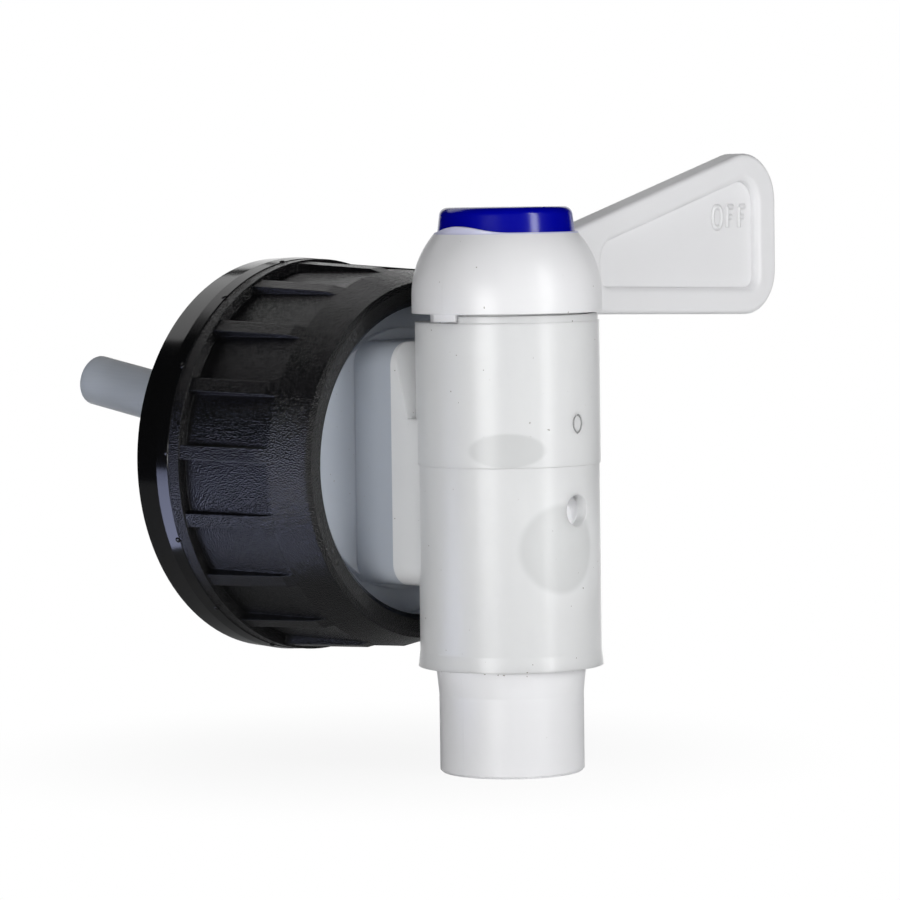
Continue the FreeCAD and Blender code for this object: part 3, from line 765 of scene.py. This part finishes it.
@dataclass
class UnionCap:
    """Black screw cap with the thread inside it and the small nubs round its band."""

    bore: float = 30.7
    thread_height: float = 1.1
    thread_foot: float = 3.2
    thread_crest: float = 1.3
    thread_pitch: float = 6.0
    thread_start: float = 4.0
    thread_turns: float = 3.0
    thread_taper: float = 0.06
    steps_a_turn: int = 96
    nub_count: int = 14
    nub_first: float = 125.2
    nub_back: float = 18.15
    nub_foot: float = 34.3
    nub_radius: float = 0.5
    nub_height: float = 0.25
    nub_sunk: float = 0.12
    nub_rings: int = 5
    nub_spokes: int = 16
    thread_end: float = 0.02
    thread_sunk: float = 0.1
    crest_round: float = 0.15
    crest_drop: float = 0.12

    def nubs(self) -> Piece:
        """Round the band with small domed nubs just behind the ring.

        Returns:
            All nubs as one piece.
        """
        points, faces = [], []
        rings, spokes = self.nub_rings, self.nub_spokes
        heights = [(1.0, -self.nub_sunk)]
        for ring in range(rings):
            lean = math.pi / 2 * ring / rings
            heights.append((math.cos(lean), self.nub_height * math.sin(lean)))
        for nub in range(self.nub_count):
            angle = math.radians(self.nub_first) + math.tau * nub / self.nub_count
            out = Vector((math.cos(angle), 0, math.sin(angle)))
            side = Vector((-math.sin(angle), 0, math.cos(angle)))
            start = len(points)
            for share, up in heights:
                for spoke in range(spokes):
                    turn = math.tau * spoke / spokes
                    flat = side * math.cos(turn) + Vector((0, math.sin(turn), 0))
                    spot = out * (self.nub_foot + up) + flat * self.nub_radius * share
                    points.append((spot + Vector((0, self.nub_back, 0))) * MM)
            points.append((out * (self.nub_foot + self.nub_height) + Vector((0, self.nub_back, 0))) * MM)
            top = len(points) - 1
            for level in range(rings):
                here = start + level * spokes
                for spoke in range(spokes):
                    then = (spoke + 1) % spokes
                    faces.append((here + spoke, here + then, here + spokes + then, here + spokes + spoke))
            here = start + rings * spokes
            faces += [(here + spoke, here + (spoke + 1) % spokes, top) for spoke in range(spokes)]
            faces.append(tuple(start + spoke for spoke in range(spokes)))
        return mesh_piece("cap_nubs", points, faces, BLACK_CAP, "cap")

    def thread(self) -> Piece:
        """Wind the thread on the bore's wall, run out to nothing at both ends.

        Returns:
            The thread.
        """
        count = int(self.thread_turns * self.steps_a_turn)
        path, rises, sizes = [], [], []
        for step in range(count + 1):
            share = step / count
            angle = math.tau * step / self.steps_a_turn
            out = Vector((math.cos(angle), 0, math.sin(angle)))
            along = self.thread_start + self.thread_pitch * step / self.steps_a_turn
            path.append(out * self.bore * MM + Vector((0, along * MM, 0)))
            rises.append(-out)
            run_out = min(1.0, share / self.thread_taper, (1 - share) / self.thread_taper)
            sizes.append(run_out + self.thread_end)
        half_foot, half_crest = self.thread_foot / 2, self.thread_crest / 2
        outline = [
            (-half_foot, -self.thread_sunk), (-half_foot, 0.0),
            (-half_crest - self.crest_round, self.thread_height - self.crest_drop),
            (-half_crest, self.thread_height),
        ]
        outline += [(-across, up) for across, up in reversed(outline)]
        points, faces = swept(path, rises, outline, sizes, False)
        return mesh_piece("cap_thread", points, faces, BLACK_CAP, "cap")

    def build(self) -> list[Piece]:
        """Dress the cap, wind its thread, raise its nubs, and give them."""
        BLACK_CAP.dress(bpy.data.objects["screw_cap"])
        return [bpy.data.objects["screw_cap"], self.thread(), self.nubs()]


@dataclass(frozen=True)
class Softbox:
    """Rectangular soft lamp, placed by its bearing from the camera's line and its height angle.

    One with a run lies flat on the floor and shines up, with its tall side along that compass angle.
    One that isn't mirrored only fills, and one that isn't lit is only seen in reflections.
    """

    name: str
    bearing: float
    height: float
    distance: float
    width: float
    tall: float
    power: float
    tint: str = "#FFFFFF"
    run: float | None = None
    mirrored: bool = True
    lit: bool = True


@dataclass
class Studio:
    """Plain pale floor, white surroundings and soft lamps.

    The target, the heights, the gap and the small lamp's radius are in millimetres; the floor's reach
    and shadow, and the softboxes' sizes and distances, are in metres.
    """

    camera_bearing: float = 222.9
    target: tuple[float, float, float] = (0.0, -15.0, 0.0)
    floor_height: float = -52.05
    floor_reach: float = 0.3
    room: str = "#3A3B3D"
    gloom: str = "#101113"
    backdrop_half: float = 24.0
    soaked_power: float = 0.0022
    soaked_height: float = -9.0
    soaked_radius: float = 2.0
    paper: str = "#F4F4F4"
    white: str = "#FFFFFF"
    floor_steps: int = 64
    floor_behind: float = 0.12
    shadow_near: float = 0.025
    shadow_far: float = 0.10
    shadow_lift: float = 0.86
    lamp_gap: float = 0.1
    boxes: tuple[Softbox, ...] = (
        Softbox("left_softbox", -26.0, 1.0, 0.80, 0.34, 0.14, 1.85),
        Softbox("right_softbox", 49.0, 12.0, 0.80, 0.17, 0.56, 2.2),
        Softbox("left_fill", -52.0, 1.0, 1.00, 0.40, 0.14, 0.95, mirrored=False),
        Softbox("right_fill", 75.0, 10.0, 1.00, 0.40, 0.50, 1.4, mirrored=False),
        Softbox("front_fill", 10.0, 3.0, 1.10, 1.20, 0.50, 3.35, mirrored=False),
        Softbox("table_glow", 0.0, 0.0, 0.20, 0.50, 0.25, 0.11, run=222.9, mirrored=False),
        Softbox("back_softbox", -153.0, 41.0, 0.80, 0.80, 0.34, 0.9, lit=False),
        Softbox("back_right", 105.0, 8.0, 0.80, 0.16, 0.60, 0.3, mirrored=False),
        Softbox("back_fill", 180.0, 6.0, 1.10, 1.40, 0.30, 2.6, mirrored=False),
        Softbox("left_table_glow", -74.8, 0.0, 0.3215, 0.10, 0.46, 0.7, "#C4CCF4", run=144.0, lit=False),
    )

    def shown(self, tree: Tree, place: Socket, limit: float) -> Node:
        """Say where the white backdrop shows: to the camera, through clear plastic and, behind, in gloss.

        Args:
            tree: node tree of the floor or the room.
            place: a point or a direction.
            limit: how far along the camera's line it must lie to be the backdrop.

        Returns:
            1 where it shows, otherwise 0.
        """
        add = partial(add_node, tree)
        rays = add("ShaderNodeLightPath").outputs
        bearing = math.radians(self.camera_bearing)
        beyond = (-math.cos(bearing), -math.sin(bearing), 0.0)
        facing = add("ShaderNodeVectorMath", {0: place, 1: beyond}, operation="DOT_PRODUCT")
        behind = add("ShaderNodeMath", {0: facing.outputs["Value"], 1: limit}, operation="GREATER_THAN")
        mirrored = add("ShaderNodeMath", {0: rays["Is Glossy Ray"], 1: behind}, operation="MULTIPLY")
        direct = {0: rays["Is Camera Ray"], 1: rays["Is Transmission Ray"]}
        clear = add("ShaderNodeMath", direct, operation="MAXIMUM")
        return add("ShaderNodeMath", {0: clear, 1: mirrored}, operation="MAXIMUM")

    def floor(self) -> Piece:
        """Lay the floor: white to the camera, and it keeps the soft shadow under the tap.

        Returns:
            The floor.
        """
        mesh = bpy.data.meshes.new("studio_floor")
        ring = []
        for step in range(self.floor_steps):
            angle = math.tau * step / self.floor_steps
            arm = Vector((math.cos(angle), math.sin(angle), 0)) * self.floor_reach
            ring.append(arm + Vector((0, 0, self.floor_height * MM)))
        mesh.from_pydata(ring, [], [tuple(range(self.floor_steps))])
        piece = bpy.data.objects.new("studio_floor", mesh)
        bpy.context.scene.collection.objects.link(piece)
        made = bpy.data.materials.new("white_paper_matt")
        made.use_nodes = True
        made.node_tree.nodes.clear()
        add = partial(add_node, made.node_tree)
        place = add("ShaderNodeTexCoord").outputs["Object"]
        shown = self.shown(made.node_tree, place, self.floor_behind)
        away = add("ShaderNodeVectorMath", {0: place}, operation="LENGTH").outputs["Value"]
        lift = add("ShaderNodeMapRange", {
            "Value": away, "From Min": self.shadow_near, "From Max": self.shadow_far,
            "To Min": self.shadow_lift, "To Max": 1.0,
        }, interpolation_type="SMOOTHSTEP")
        share = add("ShaderNodeMath", {0: shown, 1: lift}, operation="MULTIPLY")
        paper = add("ShaderNodeBsdfDiffuse", {"Color": linear(self.paper)})
        white = add("ShaderNodeEmission", {"Color": linear(self.white), "Strength": 1.0})
        mix = add("ShaderNodeMixShader", {0: share, 1: paper, 2: white})
        add("ShaderNodeOutputMaterial", {"Surface": mix})
        mesh.materials.append(made)
        return piece

    def surroundings(self) -> None:
        """White backdrop to the camera, in gloss and through clear plastic; a dim plain room otherwise."""
        world = bpy.data.worlds.new("studio_room")
        bpy.context.scene.world = world
        world.use_nodes = True
        world.node_tree.nodes.clear()
        add = partial(add_node, world.node_tree)
        way = add("ShaderNodeTexCoord").outputs["Generated"]
        shown = self.shown(world.node_tree, way, math.cos(math.radians(self.backdrop_half)))
        glossy = add("ShaderNodeLightPath").outputs["Is Glossy Ray"]
        dim = {0: glossy, 6: linear(self.room), 7: linear(self.gloom)}
        tone = add("ShaderNodeMix", dim, data_type="RGBA")
        tone = add("ShaderNodeMix", {0: shown, 6: tone, 7: linear(self.white)}, data_type="RGBA")
        sky = add("ShaderNodeBackground", {"Color": tone, "Strength": 1.0})
        add("ShaderNodeOutputWorld", {"Surface": sky})

    def lamp(self, box: Softbox) -> Piece:
        """Hang one softbox, aimed at the tap.

        Args:
            box: which softbox.

        Returns:
            The lamp.
        """
        light = bpy.data.lights.new(box.name, "AREA")
        light.shape = "RECTANGLE"
        light.size, light.size_y = box.width, box.tall
        light.energy = box.power
        light.color = linear(box.tint)[:3]
        bearing = math.radians(self.camera_bearing + box.bearing)
        height = math.radians(box.height)
        level = math.cos(height)
        way = Vector((math.cos(bearing) * level, math.sin(bearing) * level, math.sin(height)))
        spot = Vector(self.target) * MM + way * box.distance
        if box.run is None:
            turn = way.to_track_quat("Z", "Y").to_matrix().to_4x4()
        else:
            spot.z = (self.floor_height + self.lamp_gap) * MM
            along = Matrix.Rotation(math.radians(90.0 - box.run), 4, "Z")
            turn = Matrix.Rotation(math.pi, 4, "X") @ along
        made = bpy.data.objects.new(box.name, light)
        made.matrix_world = Matrix.Translation(spot) @ turn
        made.visible_camera = False
        made.visible_glossy = box.mirrored
        made.visible_diffuse = box.lit
        bpy.context.scene.collection.objects.link(made)
        return made

    def soaked_light(self) -> Piece:
        """Put a weak lamp in the key's bore, for the light that soaks through the pale walls.

        Returns:
            The lamp.
        """
        light = bpy.data.lights.new("soaked_light", "POINT")
        light.energy = self.soaked_power
        light.shadow_soft_size = self.soaked_radius * MM
        made = bpy.data.objects.new("soaked_light", light)
        made.location = (0.0, BARREL_Y, self.soaked_height * MM)
        bpy.context.scene.collection.objects.link(made)
        return made

    def build(self) -> list[Piece]:
        """Set up the floor, the surroundings and the lamps.

        Returns:
            The floor and the lamps.
        """
        bpy.context.scene.view_settings.view_transform = "Standard"
        self.surroundings()
        return [self.floor(), self.soaked_light()] + [self.lamp(box) for box in self.boxes]


@dataclass
class PhotoCamera:
    """Camera where the photograph was taken from, in millimetres of the tap's frame."""

    lens: float = 170.204
    spot: tuple[float, float, float] = (-530.163, -508.936, 46.539)
    right: tuple[float, float, float] = (0.680233, -0.732876, -0.013277)
    up: tuple[float, float, float] = (0.054315, 0.032333, 0.998000)
    sensor: float = 36.0
    near: float = 10.0

    def build(self) -> list[Piece]:
        """Set up the camera and make it the scene's.

        Returns:
            The camera.
        """
        data = bpy.data.cameras.new("photo_camera")
        data.lens = self.lens
        data.sensor_width = self.sensor
        data.clip_start = self.near * MM
        right, up = Vector(self.right).normalized(), Vector(self.up).normalized()
        back = right.cross(up).normalized()
        turn = Matrix((right, back.cross(right), back)).transposed().to_4x4()
        made = bpy.data.objects.new("photo_camera", data)
        made.matrix_world = Matrix.Translation(Vector(self.spot) * MM) @ turn
        bpy.context.scene.collection.objects.link(made)
        bpy.context.scene.camera = made
        return [made]


def main() -> None:
    """Build the tap's sub-assemblies in order, then the studio and the camera."""
    logging.basicConfig(level=logging.INFO, format="%(name)s: %(message)s")
    for maker in (TapBody(), ValveKey(), TopPlug(), UnionCap(), Studio(), PhotoCamera()):
        for piece in maker.build():
            LOG.info("%s: %s", type(maker).__name__, piece.name)


if __name__ == "__main__":
    main()
